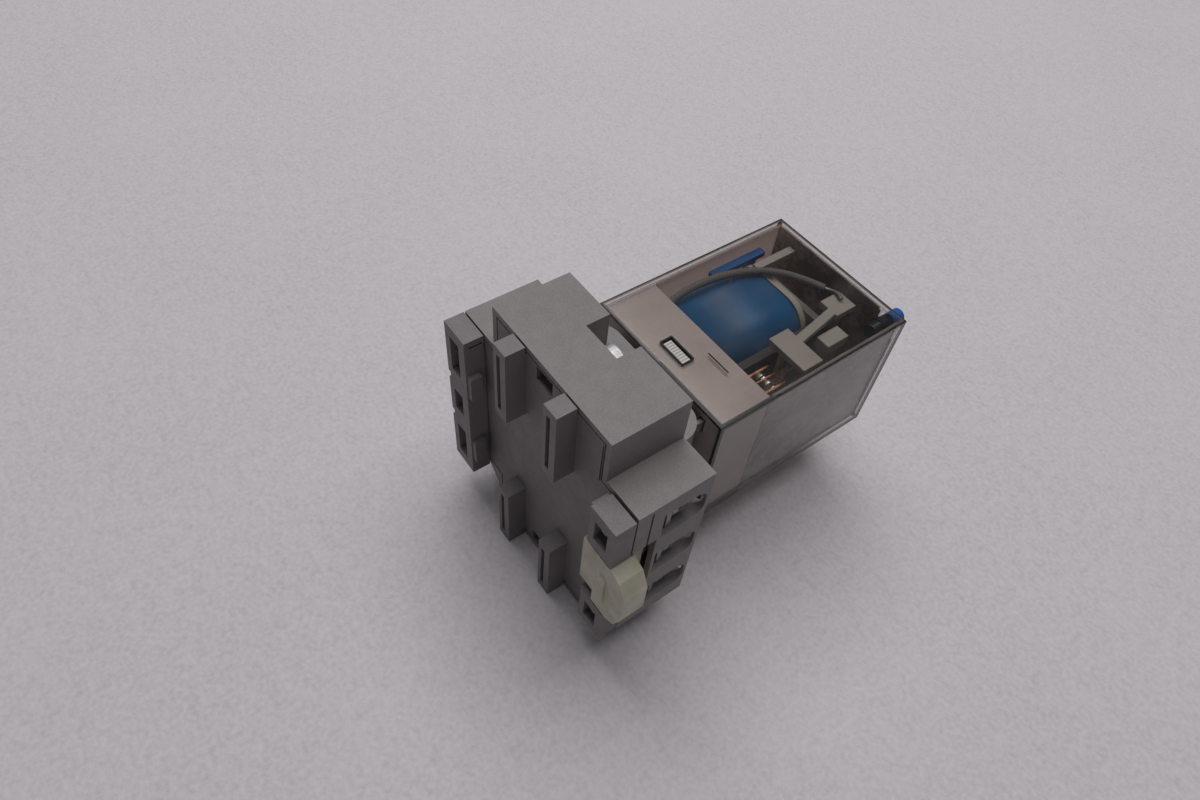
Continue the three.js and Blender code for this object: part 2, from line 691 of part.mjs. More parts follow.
// L-shaped yoke: a leg beside the coil and a foot behind it.
function magnetYoke() {
  const low = RELAY_MIDDLE - 9;
  const high = RELAY_MIDDLE + 9;
  const heel = BOBBIN_NEAR - GAP - 1.6;
  const legEnd = ARMATURE_NEAR - 0.6;
  const leg = box(YOKE_LEFT, YOKE_LEFT + YOKE_THICKNESS, heel, legEnd, low, high);
  const foot = box(CORE_X - 6, YOKE_LEFT + 0.5, heel, BOBBIN_NEAR - GAP, low, high);
  return leg.add(foot);
}

function armaturePlate() {
  const far = ARMATURE_NEAR + ARMATURE_THICKNESS;
  const right = YOKE_LEFT + YOKE_THICKNESS;
  return box(CORE_X - 6.5, right, ARMATURE_NEAR, far, RELAY_MIDDLE - 8, RELAY_MIDDLE + 8);
}

// Leaf spring behind the armature, with a leg beside the yoke.
function returnSpring() {
  const near = ARMATURE_NEAR + ARMATURE_THICKNESS + GAP;
  const right = YOKE_LEFT + 3.4;
  const half = 2.5;
  const leaf = box(-9, right, near, near + 0.3, RELAY_MIDDLE - half, RELAY_MIDDLE + half);
  const leg = box(right - 0.3, right, 52, near + 0.2, RELAY_MIDDLE - half, RELAY_MIDDLE + half);
  return leaf.add(leg);
}

// Slide beside the coil, over its rounded corner.
function indicatorSlide() {
  const bar = box(-15.4, -13.7, 49.5, 63.4, COIL.high - 1.1, COIL.high + 0.1);
  const foot = box(-15.4, -14.4, BOBBIN_FAR + GAP, 62, COIL.high - 6, COIL.high - 1);
  return bar.add(foot);
}

addPiece('coil_bobbin', coilBobbin(), FINISHES.palePlastic);
addPiece('coil_winding', coilWinding(), FINISHES.coil);
addPiece('magnet_core', magnetCore(), FINISHES.steel);
addPiece('magnet_yoke', magnetYoke(), FINISHES.steel);
addPiece('armature', armaturePlate(), FINISHES.steel);
addPiece('return_spring', returnSpring(), FINISHES.steel);
addPiece('indicator_slide', indicatorSlide(), FINISHES.bluePlastic);

// ---------------------------------------------------------------- contacts

// T-shaped pusher: its head rides on the armature, its crossbar drives both moving springs.
function contactCarrier() {
  const under = CARRIER_TOP - CARRIER_THICKNESS;
  const headLeft = 3.6;
  const headNear = 61.2;
  const headFar = 66.4;
  const stemStart = 8.6;
  const webFar = 47.4;
  const webRight = CONTACTS.common.x - 0.45;
  const web = box(webRight - 0.8, webRight, CROSSBAR.near, webFar, 17, CARRIER_TOP - THROUGH);
  const crossbar = box(CROSSBAR.left, CROSSBAR.right, CROSSBAR.near, CROSSBAR.far, under, CARRIER_TOP);
  const stemEnd = 6.6;
  const half = STEM_WIDTH / 2;
  const stem = prismZ(polygon([
    [stemStart - half, CROSSBAR.far - THROUGH], [stemStart + half, CROSSBAR.far - THROUGH],
    [stemEnd + half, headNear + THROUGH], [stemEnd - half, headNear + THROUGH],
  ]), under, CARRIER_TOP);
  const head = box(headLeft, headLeft + 4.6, headNear, headFar, under, CARRIER_TOP);
  const gripNear = ARMATURE_NEAR + ARMATURE_THICKNESS + GAP;
  const grip = box(headLeft, YOKE_LEFT + YOKE_THICKNESS, gripNear, headFar, 33.5, under + GAP);
  return join([web, crossbar, stem, head, grip]);
}

// Spring foot or fixed contact, in one piece with the blade that plugs into the socket.
function stripAndPin(kind, pole) {
  const { x, rivet } = CONTACTS[kind];
  const moving = kind === 'common';
  const middle = poleHeight(pole);
  const pinMiddle = pinHeight(kind, pole);
  const half = moving ? SPRING_THICKNESS / 2 : 0.25;
  const bladeHalf = BLADE_THICKNESS / 2;
  const tip = moving ? MOVING_SPRING_FOOT - GAP : RIVET_Y + 2;
  const low = Math.min(middle - STRIP_HALF_WIDTH, pinMiddle - PIN_HALF_HEIGHT);
  const high = Math.max(middle + STRIP_HALF_WIDTH, pinMiddle + PIN_HALF_HEIGHT);
  const shoulder = box(x - bladeHalf, x + bladeHalf, 28, 31, low, high);
  const blade = box(
    x - bladeHalf, x + bladeHalf, PIN_END, 28.5, pinMiddle - PIN_HALF_HEIGHT, pinMiddle + PIN_HALF_HEIGHT,
  );
  const strip = box(x - half, x + half, 30.5, tip, middle - STRIP_HALF_WIDTH, middle + STRIP_HALF_WIDTH);
  const parts = [shoulder, blade, strip];
  if (!moving) {
    parts.push(rodX(RIVET_Y, middle, RIVET_RADIUS, Math.min(rivet[0], x), Math.max(rivet[1], x)));
  }
  return join(parts);
}

function movingSpring(pole) {
  const { x, rivet } = CONTACTS.common;
  const middle = poleHeight(pole);
  const half = SPRING_THICKNESS / 2;
  const width = STRIP_HALF_WIDTH;
  const leaf = box(x - half, x + half, MOVING_SPRING_FOOT, 48.2, middle - width, middle + width);
  return leaf.add(rodX(RIVET_Y, middle, RIVET_RADIUS, rivet[0], rivet[1]));
}

function coilPin(pole) {
  const half = BLADE_THICKNESS / 2;
  const middle = poleHeight(pole);
  return box(
    COIL_PIN_X - half, COIL_PIN_X + half, PIN_END, 33.6, middle - PIN_HALF_HEIGHT, middle + PIN_HALF_HEIGHT,
  );
}

addPiece('contact_carrier', contactCarrier(), FINISHES.palePlastic);

SIDES.forEach((pole) => {
  const place = pole > 0 ? 'upper' : 'lower';
  addPiece(`normally_closed_contact_${place}`, stripAndPin('normally_closed', pole), FINISHES.copper);
  addPiece(`normally_open_contact_${place}`, stripAndPin('normally_open', pole), FINISHES.copper);
  addPiece(`common_terminal_${place}`, stripAndPin('common', pole), FINISHES.copper);
  addPiece(`moving_spring_${place}`, movingSpring(pole), FINISHES.copper);
  addPiece(`coil_pin_${place}`, coilPin(pole), FINISHES.steel);
});

// ---------------------------------------------------------------- flexible leads

const LEAD_RADIUS = 0.75;
const LEAD_HEIGHT = 12.95;       // of its level stretch, from the relay's middle height

// Sleeved lead, held at both ends, that arches over the coil just under the cover.
function flexibleLead(side) {
  const height = RELAY_MIDDLE + side * LEAD_HEIGHT;
  const route = [
    [-12.3, 31, -3.2], [-12.3, 34.5, -2.3], [-12.3, 37.2, -0.8], [-12.1, 40.5, 0], [-11.2, 48, 0],
    [-9.4, 55, 0], [-6.4, 61, 0], [-2.6, 65, 0], [2.3, 66.4, 0],
  ];
  const curve = new THREE.CatmullRomCurve3(
    route.map(([x, y, rise]) => new THREE.Vector3(x, y, height + side * rise)), false, 'centripetal',
  );
  const section = new THREE.Shape();
  section.absarc(0, 0, LEAD_RADIUS, 0, Math.PI * 2);
  const geometry = new THREE.ExtrudeGeometry(section, { extrudePath: curve, steps: 26, curveSegments: 8 });
  return solid(geometry);
}

addPiece('flexible_lead_upper', flexibleLead(1), FINISHES.leadSleeve);
addPiece('flexible_lead_lower', flexibleLead(-1), FINISHES.leadSleeve);

// ---------------------------------------------------------------- test button

function testButton() {
  const { radius, near, far } = BUTTON_COLLAR;
  const shaft = rodY(BUTTON_X, BUTTON_Z, BUTTON_RADIUS, BUTTON_NEAR, BUTTON_END);
  return shaft.add(rodY(BUTTON_X, BUTTON_Z, radius, near, far));
}

// Post beside the carrier's stem, with a wider block at each end.
function stopPost() {
  const blockHigh = CARRIER_TOP - CARRIER_THICKNESS - GAP;
  const blockLow = 2 * RELAY_MIDDLE - blockHigh;
  const block = (z) => boxBetween([9, 55.4, z], [12.2, 61, z + Math.sign(RELAY_MIDDLE - z) * 2.4]);
  const post = box(9.6, 11.4, 56, 60.4, blockLow + 1, blockHigh - 1);
  return join([post, block(blockHigh), block(blockLow)]);
}

addPiece('test_button', testButton(), FINISHES.bluePlastic);
addPiece('stop_post', stopPost(), FINISHES.palePlastic);

// ---------------------------------------------------------------- whole object

// The origin is under the middle of the whole object's box.
assembly.position.set(
  -(CLIP_NOSE_REACH - END_REACH) / 2,
  -(BUTTON_END - HOOK_DEPTH - CLIP_PULL_HEIGHT) / 2,
  0,
);

const part = new THREE.Group();
part.add(assembly);

export default part;
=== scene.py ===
"""Looks of a plug-in control relay in its DIN-rail socket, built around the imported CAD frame."""

import json
import math

import bmesh
import bpy
from mathutils import Matrix, Vector


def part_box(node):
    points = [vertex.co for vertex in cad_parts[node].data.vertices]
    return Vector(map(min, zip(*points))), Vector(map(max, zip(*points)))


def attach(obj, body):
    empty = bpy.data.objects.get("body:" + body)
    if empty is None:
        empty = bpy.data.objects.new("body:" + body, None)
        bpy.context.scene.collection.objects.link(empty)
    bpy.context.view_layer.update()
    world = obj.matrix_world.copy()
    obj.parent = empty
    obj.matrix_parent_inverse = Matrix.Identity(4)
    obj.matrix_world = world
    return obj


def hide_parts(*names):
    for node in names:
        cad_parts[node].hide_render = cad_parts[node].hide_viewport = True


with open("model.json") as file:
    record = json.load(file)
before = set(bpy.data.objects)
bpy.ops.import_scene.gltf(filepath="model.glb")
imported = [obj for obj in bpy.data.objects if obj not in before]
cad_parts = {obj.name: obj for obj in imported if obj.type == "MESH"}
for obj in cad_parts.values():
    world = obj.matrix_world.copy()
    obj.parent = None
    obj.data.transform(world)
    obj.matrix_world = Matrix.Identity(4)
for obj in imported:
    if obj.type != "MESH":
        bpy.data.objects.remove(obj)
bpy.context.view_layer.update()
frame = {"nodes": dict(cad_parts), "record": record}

MM = 0.001
NODES = frame["nodes"]

# ---------------------------------------------------------------- camera

CAMERA_PLACE = Vector((64.7, -81.2, 153.8)) * MM
CAMERA_RIGHT = Vector((0.5854, 0.8075, 0.0730)).normalized()
CAMERA_FORWARD = Vector((-0.4675, 0.4097, -0.7833)).normalized()
CAMERA_LENS = 25.19


def make_camera():
    """The viewing angle is held by a right and a forward direction."""
    up = CAMERA_RIGHT.cross(CAMERA_FORWARD).normalized()
    right = CAMERA_FORWARD.cross(up)
    rotation = Matrix((right, up, -CAMERA_FORWARD)).transposed()
    data = bpy.data.cameras.new("camera")
    data.lens = CAMERA_LENS
    data.sensor_width = 36
    data.clip_start = 0.005
    camera = bpy.data.objects.new("camera", data)
    camera.matrix_world = Matrix.Translation(CAMERA_PLACE) @ rotation.to_4x4()
    bpy.context.scene.collection.objects.link(camera)
    bpy.context.scene.camera = camera


make_camera()
bpy.context.scene.view_settings.view_transform = "Standard"

# ---------------------------------------------------------------- material helpers


def srgb(red, green, blue):
    """Display values from 0 to 255 as a linear colour."""
    def linear(value):
        value /= 255
        return value / 12.92 if value <= 0.04045 else ((value + 0.055) / 1.055) ** 2.4
    return (linear(red), linear(green), linear(blue), 1)


class Recipe:
    """A material under construction: a Principled shader and the nodes that feed it."""

    def __init__(self, name, colour, roughness, **values):
        self.material = bpy.data.materials.new(name)
        self.material.use_nodes = True
        self.tree = self.material.node_tree
        self.shader = self.tree.nodes["Principled BSDF"]
        self.colour = colour
        self.set("Base Color", colour)
        self.set("Roughness", roughness)
        for key, value in values.items():
            self.set(key.replace("_", " "), value)
        self.material.diffuse_color = colour
        self.place = self.tree.nodes.new("ShaderNodeTexCoord").outputs["Object"]

    def set(self, socket, value):
        self.shader.inputs[socket].default_value = value

    def link(self, output, socket):
        self.tree.links.new(output, socket)

    def noise(self, scale, detail=3.0, stretch=None, roughness=0.5):
        """Noise over the object's own coordinates; scale is in features per metre."""
        node = self.tree.nodes.new("ShaderNodeTexNoise")
        node.inputs["Scale"].default_value = scale
        node.inputs["Detail"].default_value = detail
        node.inputs["Roughness"].default_value = roughness
        place = self.place
        if stretch:
            mapping = self.tree.nodes.new("ShaderNodeMapping")
            mapping.inputs["Scale"].default_value = stretch
            self.link(place, mapping.inputs["Vector"])
            place = mapping.outputs["Vector"]
        self.link(place, node.inputs["Vector"])
        return node.outputs["Fac"]

    def spread(self, value, low, high, from_low=0.3, from_high=0.7):
        """Maps a noise value to a range."""
        node = self.tree.nodes.new("ShaderNodeMapRange")
        node.inputs["From Min"].default_value = from_low
        node.inputs["From Max"].default_value = from_high
        node.inputs["To Min"].default_value = low
        node.inputs["To Max"].default_value = high
        self.link(value, node.inputs["Value"])
        return node.outputs["Result"]

    def math(self, operation, *terms):
        """One arithmetic step; each term is a number or an output."""
        node = self.tree.nodes.new("ShaderNodeMath")
        node.operation = operation
        for socket, term in zip(node.inputs, terms):
            if isinstance(term, bpy.types.NodeSocket):
                self.link(term, socket)
            else:
                socket.default_value = term
        return node.outputs["Value"]

    def blend(self, factor, first, second):
        """Mixes two colours, each a value or an output."""
        node = self.tree.nodes.new("ShaderNodeMix")
        node.data_type = "RGBA"
        self.link(factor, node.inputs["Factor"])
        for socket, value in ((node.inputs[6], first), (node.inputs[7], second)):
            if isinstance(value, bpy.types.NodeSocket):
                self.link(value, socket)
            else:
                socket.default_value = value
        return node.outputs[2]

    def axes(self):
        """The object's own X, Y and Z as three outputs."""
        node = self.tree.nodes.new("ShaderNodeSeparateXYZ")
        self.link(self.place, node.inputs["Vector"])
        return [node.outputs[axis] for axis in "XYZ"]

    def near_box_edges(self, low, high, width):
        """1 where a box's surface lies within width of one of its edges, else 0."""
        near = []
        for axis, bottom, top in zip(self.axes(), low, high):
            above_bottom = self.math("SUBTRACT", axis, bottom)
            below_top = self.math("SUBTRACT", top, axis)
            depth = self.math("MINIMUM", above_bottom, below_top)
            near.append(self.spread(depth, 1, 0, width * 0.7, width))
        along_z = self.math("MULTIPLY", near[0], near[1])
        along_x = self.math("MULTIPLY", near[1], near[2])
        along_y = self.math("MULTIPLY", near[2], near[0])
        return self.math("MAXIMUM", self.math("MAXIMUM", along_x, along_y), along_z)

    def colour_from(self, output):
        self.link(output, self.shader.inputs["Base Color"])

    def roughness_from(self, output):
        self.link(output, self.shader.inputs["Roughness"])

    def bump(self, *layers):
        """Each layer is a height output with its distance in millimetres and its strength."""
        normal = None
        for height, distance, strength in layers:
            node = self.tree.nodes.new("ShaderNodeBump")
            node.inputs["Distance"].default_value = distance * MM
            node.inputs["Strength"].default_value = strength
            self.link(height, node.inputs["Height"])
            if normal:
                self.link(normal, node.inputs["Normal"])
            normal = node.outputs["Normal"]
        self.link(normal, self.shader.inputs["Normal"])


def shade(colour, factor):
    return (colour[0] * factor, colour[1] * factor, colour[2] * factor, 1)


# ---------------------------------------------------------------- materials


def moulded_plastic(name, colour, roughness=0.55, grain=1.0, stain=0.1):
    """Injection-moulded plastic: fine spark texture, faint cloudiness, light scuffs and rubbed marks."""
    recipe = Recipe(name, colour, roughness)
    clouds = recipe.noise(70, 4)
    marks = recipe.spread(recipe.noise(260, 5, stretch=(1, 0.35, 1)), 0, 1, 0.56, 0.72)
    darker, lighter = shade(colour, 1 - stain), shade(colour, 1 + stain * 0.6)
    cloudy = recipe.blend(recipe.spread(clouds, 0, 1), darker, lighter)
    speckle = recipe.spread(recipe.noise(3000, 2), 0, 0.3 * min(grain, 1), 0.45, 0.62)
    mottled = recipe.blend(speckle, cloudy, shade(colour, 1.45))
    recipe.colour_from(recipe.blend(recipe.spread(marks, 0, 0.25, 0, 1), mottled, shade(colour, 1.35)))
    recipe.roughness_from(recipe.spread(recipe.noise(420, 3), roughness - 0.07, roughness + 0.09))
    recipe.bump(
        (recipe.noise(3600, 2), 0.06, 0.35 * grain),
        (recipe.noise(900, 3), 0.05, 0.25 * grain),
    )
    return recipe.material


def clip_plastic():
    """Unfilled nylon: ivory, a little translucent, with waxy cloudiness."""
    colour = srgb(196, 194, 178)
    recipe = Recipe(
        "clip_ivory", colour, 0.38,
        Subsurface_Weight=0.35, Subsurface_Scale=0.002, Subsurface_Radius=(1.0, 0.9, 0.6),
    )
    clouds = recipe.spread(recipe.noise(240, 4), 0, 1)
    recipe.colour_from(recipe.blend(clouds, srgb(172, 172, 140), srgb(204, 197, 184)))
    recipe.bump((recipe.noise(1500, 3), 0.06, 0.3), (recipe.noise(300, 2), 0.12, 0.3))
    return recipe.material


COVER_EDGE = 0.42     # width of the painted shade lines along the cover's edges
COLLAR_EDGE = 0.95    # and along the collar's edges, a wider painted shadow of the gap where the base stands behind the cover
COLLAR_LENGTH = 12.4  # from the cover's open end
COVER_RIM = 0.85      # a band of painted shade that follows the dark lines
# colours of the painted shade lines and of the painted shade band beside them
EDGE_SHADE_COLOUR = srgb(26, 23, 22)
RIM_SHADE_COLOUR = srgb(96, 87, 83)


def clear_shell():
    """Clear polycarbonate: what is behind shows through, with a mirror sheen and a haze of fine scuffs; dark
    lines and a darker band along its edges are painted shade.
    """
    recipe = Recipe("clear_cover", srgb(122, 112, 108), 0.4)
    scuffs = recipe.noise(200, 3, stretch=(1, 0.4, 1))
    smears = recipe.noise(90, 3)
    recipe.roughness_from(recipe.spread(scuffs, 0.25, 0.6, 0.45, 0.75))
    patchy = recipe.spread(smears, 0.02, 0.09, 0.42, 0.62)
    haze = recipe.math("MULTIPLY", recipe.spread(scuffs, 0.3, 1.0, 0.45, 0.75), patchy)
    clear = recipe.tree.nodes.new("ShaderNodeBsdfTransparent")
    clear.inputs["Color"].default_value = (0.9, 0.89, 0.88, 1)
    gloss = recipe.tree.nodes.new("ShaderNodeBsdfGlossy")
    gloss.inputs["Roughness"].default_value = 0.12
    slant = recipe.tree.nodes.new("ShaderNodeLayerWeight")
    steep = recipe.math("POWER", slant.outputs["Facing"], 4)
    sheen = recipe.tree.nodes.new("ShaderNodeMixShader")
    recipe.link(recipe.math("MULTIPLY_ADD", steep, 0.6, 0.04), sheen.inputs["Fac"])
    recipe.link(clear.outputs["BSDF"], sheen.inputs[1])
    recipe.link(gloss.outputs["BSDF"], sheen.inputs[2])
    low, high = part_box("relay_cover")
    across, along, _ = recipe.axes()
    beside_collar = recipe.math(
        "MULTIPLY",
        recipe.math("GREATER_THAN", across, (low.x + high.x) / 2),
        recipe.math("LESS_THAN", along, low.y + COLLAR_LENGTH * MM),
    )
    # painted shadow of the gap between the collar and the cover's wall
    collar_gap_shadow = recipe.math("MULTIPLY", recipe.near_box_edges(low, high, COLLAR_EDGE * MM), beside_collar)
    edges = recipe.math("MAXIMUM", recipe.near_box_edges(low, high, COVER_EDGE * MM), collar_gap_shadow)
    rim = recipe.near_box_edges(low, high, COVER_RIM * MM)
    # painted shade: dark lines along the edges and a darker band beside them
    shaded_band_colour = recipe.blend(rim, recipe.colour, RIM_SHADE_COLOUR)
    recipe.colour_from(recipe.blend(edges, shaded_band_colour, EDGE_SHADE_COLOUR))
    edge_cover = recipe.math("MULTIPLY", edges, 0.95)
    rim_cover = recipe.math("MULTIPLY", rim, 0.8)
    painted_shade = recipe.math("MAXIMUM", edge_cover, rim_cover)
    whole = recipe.tree.nodes.new("ShaderNodeMixShader")
    recipe.link(recipe.math("MAXIMUM", haze, painted_shade), whole.inputs["Fac"])
    recipe.link(sheen.outputs["Shader"], whole.inputs[1])
    recipe.link(recipe.shader.outputs["BSDF"], whole.inputs[2])
    recipe.link(whole.outputs["Shader"], recipe.tree.nodes["Material Output"].inputs["Surface"])
    return recipe.material


def lining(name, colour, stains, glow):
    """Thin sheet inside the cover. Some of the light that falls on its far side comes through."""
    recipe = Recipe(name, colour, 0.42)
    smears = recipe.spread(recipe.noise(130, 3, stretch=(1, 0.6, 1)), 0, 1, 0.4, 0.6)
    specks_and_glints = recipe.spread(recipe.noise(330, 3), 0, 1, 0.54, 0.66)
    rust = recipe.spread(recipe.noise(70, 2), 0, stains, 0.45, 0.6)
    smeared = recipe.blend(smears, shade(colour, 1 - stains), shade(colour, 1 + stains))
    warm = recipe.blend(rust, smeared, (colour[0] * 0.95, colour[1] * 0.72, colour[2] * 0.68, 1))
    # bright flecks: specks in the sheet, and painted highlights
    recipe.colour_from(recipe.blend(recipe.math("MULTIPLY", specks_and_glints, stains), warm, shade(colour, 2.2)))
    recipe.roughness_from(recipe.spread(specks_and_glints, 0.25, 0.5, 0, 1))
    recipe.bump((recipe.noise(160, 2), 0.08, 0.25))
    if glow:
        through = recipe.tree.nodes.new("ShaderNodeBsdfTranslucent")
        through.inputs["Color"].default_value = colour
        mixed = recipe.tree.nodes.new("ShaderNodeMixShader")
        mixed.inputs["Fac"].default_value = glow
        recipe.link(recipe.shader.outputs["BSDF"], mixed.inputs[1])
        recipe.link(through.outputs["BSDF"], mixed.inputs[2])
        recipe.link(mixed.outputs["Shader"], recipe.tree.nodes["Material Output"].inputs["Surface"])
    return recipe.material


def blue_button():
    """Blue plastic, painted nearly black as shade where it stands inside the relay."""
    colour = srgb(36, 92, 170)
    recipe = Recipe("button_blue", colour, 0.32)
    # painted shade: the part inside the cover is darkened
    inside = recipe.math("LESS_THAN", recipe.axes()[1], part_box("relay_cover")[1].y - 0.3 * MM)
    recipe.colour_from(recipe.blend(inside, colour, srgb(26, 34, 48)))
    recipe.bump((recipe.noise(1800, 3), 0.03, 0.3))
    return recipe.material


def coil_wrap():
    """Blue insulating wrap with faint ridges of the wire under it."""
    colour = srgb(20, 98, 150)
    recipe = Recipe("coil_blue", colour, 0.42)
    clouds = recipe.spread(recipe.noise(160, 3), 0, 1)
    recipe.colour_from(recipe.blend(clouds, shade(colour, 0.85), shade(colour, 1.12)))
    recipe.bump((recipe.noise(300, 2, stretch=(0.3, 6, 0.3)), 0.08, 0.3), (recipe.noise(2500, 2), 0.02, 0.3))
    return recipe.material


def metal(name, colour, roughness, lines=(1, 1, 1)):
    """Sheet or turned metal with fine draw lines and dulled patches."""
    recipe = Recipe(name, colour, roughness, Metallic=1.0)
    patches = recipe.spread(recipe.noise(220, 4), 0, 1)
    recipe.colour_from(recipe.blend(patches, shade(colour, 0.78), shade(colour, 1.08)))
    draw_lines = recipe.noise(800, 4, stretch=lines)
    recipe.roughness_from(recipe.spread(draw_lines, roughness - 0.08, roughness + 0.14))
    recipe.bump((recipe.noise(2400, 3, stretch=lines), 0.02, 0.3))
    return recipe.material


def contact_metal(name, strip_x):
    """Copper alloy strip whose blade is tinned and whose rivet is silver."""
    copper = (0.70, 0.36, 0.23, 1)
    silver = (0.66, 0.67, 0.64, 1)
    recipe = Recipe(name, copper, 0.28, Metallic=1.0)
    across, along, _ = recipe.axes()
    blade = recipe.math("LESS_THAN", along, TINNED_BELOW * MM)
    aside = recipe.math("ABSOLUTE", recipe.math("SUBTRACT", across, strip_x * MM))
    rivet = recipe.math("GREATER_THAN", aside, 0.27 * MM)
    tarnish = recipe.blend(recipe.spread(recipe.noise(300, 4), 0, 1), shade(copper, 0.6), shade(copper, 1.1))
    recipe.colour_from(recipe.blend(recipe.math("MAXIMUM", blade, rivet), tarnish, silver))
    recipe.roughness_from(recipe.spread(recipe.noise(900, 4), 0.2, 0.42))
    recipe.bump((recipe.noise(2400, 3, stretch=(1, 0.2, 1)), 0.02, 0.3))
    return recipe.material


def braided_sleeve():
    """Woven sleeve: two crossing sets of fine diagonal ribs."""
    colour = srgb(118, 116, 112)
    recipe = Recipe("lead_grey", colour, 0.72)
    waves = []
    for slant in (1, -1):
        wave = recipe.tree.nodes.new("ShaderNodeTexWave")
        wave.inputs["Scale"].default_value = 900
        wave.inputs["Distortion"].default_value = 0.6
        wave.bands_direction = "DIAGONAL"
        mapping = recipe.tree.nodes.new("ShaderNodeMapping")
        mapping.inputs["Scale"].default_value = (slant, 1, 1)
        recipe.link(recipe.place, mapping.inputs["Vector"])
        recipe.link(mapping.outputs["Vector"], wave.inputs["Vector"])
        waves.append(wave.outputs["Fac"])
    recipe.colour_from(recipe.blend(waves[0], shade(colour, 0.8), shade(colour, 1.15)))
    recipe.bump((waves[0], 0.06, 0.5), (waves[1], 0.06, 0.5))
    return recipe.material


TINNED_BELOW = -2.9     # a contact's blade lies on the socket's side of this, along Y

SLOT_MATERIALS = {
    "socket_grey": moulded_plastic("socket_grey", srgb(132, 127, 127), 0.6, grain=1.6, stain=0.06),
    "rail_plate_grey": moulded_plastic("rail_plate_grey", srgb(122, 117, 118), 0.6, grain=1.6, stain=0.06),
    "clip_ivory": clip_plastic(),
    "relay_grey": moulded_plastic("relay_grey", srgb(190, 177, 174), 0.45, grain=0.5, stain=0.05),
    "clear_cover": clear_shell(),
    "relay_panel": lining("relay_panel", srgb(248, 236, 231), 0.05, 0.75),
    "dark_panel": lining("dark_panel", srgb(146, 132, 127), 0.5, 0.0),
    "pale_plastic": moulded_plastic("pale_plastic", srgb(176, 170, 164), 0.42, grain=0.4),
    "coil_blue": coil_wrap(),
    "steel": metal("steel", (0.32, 0.32, 0.31, 1), 0.46, (1, 8, 1)),
    "copper": metal("copper", (0.62, 0.33, 0.22, 1), 0.3, (1, 6, 1)),
    "lead_grey": braided_sleeve(),
    "button_blue": moulded_plastic("slide_blue", srgb(36, 100, 168), 0.36, grain=0.4),
}

NODE_MATERIALS = {
    "magnet_yoke": moulded_plastic("dark_steel", srgb(52, 51, 50), 0.45, grain=0.3, stain=0.2),
    "label_panel": lining("label_panel", srgb(140, 133, 131), 0.34, 0.0),
    "test_button": blue_button(),
    "screw_slab_upper": metal("pale_screw", (0.7, 0.7, 0.7, 1), 0.6),
    "screw_slab_lower": metal("pale_screw", (0.7, 0.7, 0.7, 1), 0.6),
}
for place in ("upper", "lower"):
    for kind, strip_x in (("normally_closed_contact", 5.75), ("normally_open_contact", 10.3)):
        NODE_MATERIALS[f"{kind}_{place}"] = contact_metal(f"{kind}_{place}", strip_x)
    for kind in ("common_terminal", "moving_spring"):
        NODE_MATERIALS[f"{kind}_{place}"] = contact_metal(f"{kind}_{place}", 7.7)

# ---------------------------------------------------------------- carried-over CAD nodes

EDGE_RADIUS = {
    "socket_body": 0.28, "rail_plate": 0.22, "rail_clip": 0.35, "relay_base": 0.2, "relay_cover": 0.22,
    "coil_winding": 0.3, "stop_post": 0.25, "contact_carrier": 0.15, "test_button": 0.25,
}
THIN_EDGE = 0.06
SCREW_EDGE = 0.4


def dress_node(name, material):
    """Gives a CAD node its material and softly rounded edges."""
    node = NODES[name]
    node.data.materials.clear()
    node.data.materials.append(material)
    radius = SCREW_EDGE if name.startswith("screw") else EDGE_RADIUS.get(name, THIN_EDGE)
    weld = node.modifiers.new("weld", "WELD")
    weld.merge_threshold = 0.001 * MM
    flat = node.modifiers.new("whole faces", "DECIMATE")
    flat.decimate_type = "DISSOLVE"
    flat.angle_limit = math.radians(0.5)
    bevel = node.modifiers.new("round edges", "BEVEL")
    bevel.width = radius * MM
    bevel.segments = 2
    bevel.limit_method = "ANGLE"
    bevel.angle_limit = math.radians(35)
    bevel.harden_normals = True
    smooth = node.modifiers.new("smooth faces", "WEIGHTED_NORMAL")
    smooth.keep_sharp = True


for entry in frame["record"]["subparts"]:
    node_name = entry["node"]
    dress_node(node_name, NODE_MATERIALS.get(node_name, SLOT_MATERIALS[entry["material_slot"]]))

# ---------------------------------------------------------------- small pieces added to the CAD


def new_piece(name, body, shape, material, bevel=0.0):
    """Turns a bmesh into a piece that rides on a CAD body."""
    mesh = bpy.data.meshes.new(name)
    bmesh.ops.recalc_face_normals(shape, faces=shape.faces)
    shape.to_mesh(mesh)
    shape.free()
    mesh.materials.append(material)
    piece = bpy.data.objects.new(name, mesh)
    bpy.context.scene.collection.objects.link(piece)
    if bevel:
        edges = piece.modifiers.new("round edges", "BEVEL")
        edges.width = bevel * MM
        edges.segments = 2
    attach(piece, body)
    return piece


def add_box(shape, low, high):
    """Adds a box between two corners in metres."""
    low, high = Vector(low), Vector(high)
    made = bmesh.ops.create_cube(shape, size=1)
    size = high - low
    middle = (low + high) / 2
    for vertex in made["verts"]:
        vertex.co = Vector(a * b for a, b in zip(vertex.co, size)) + middle


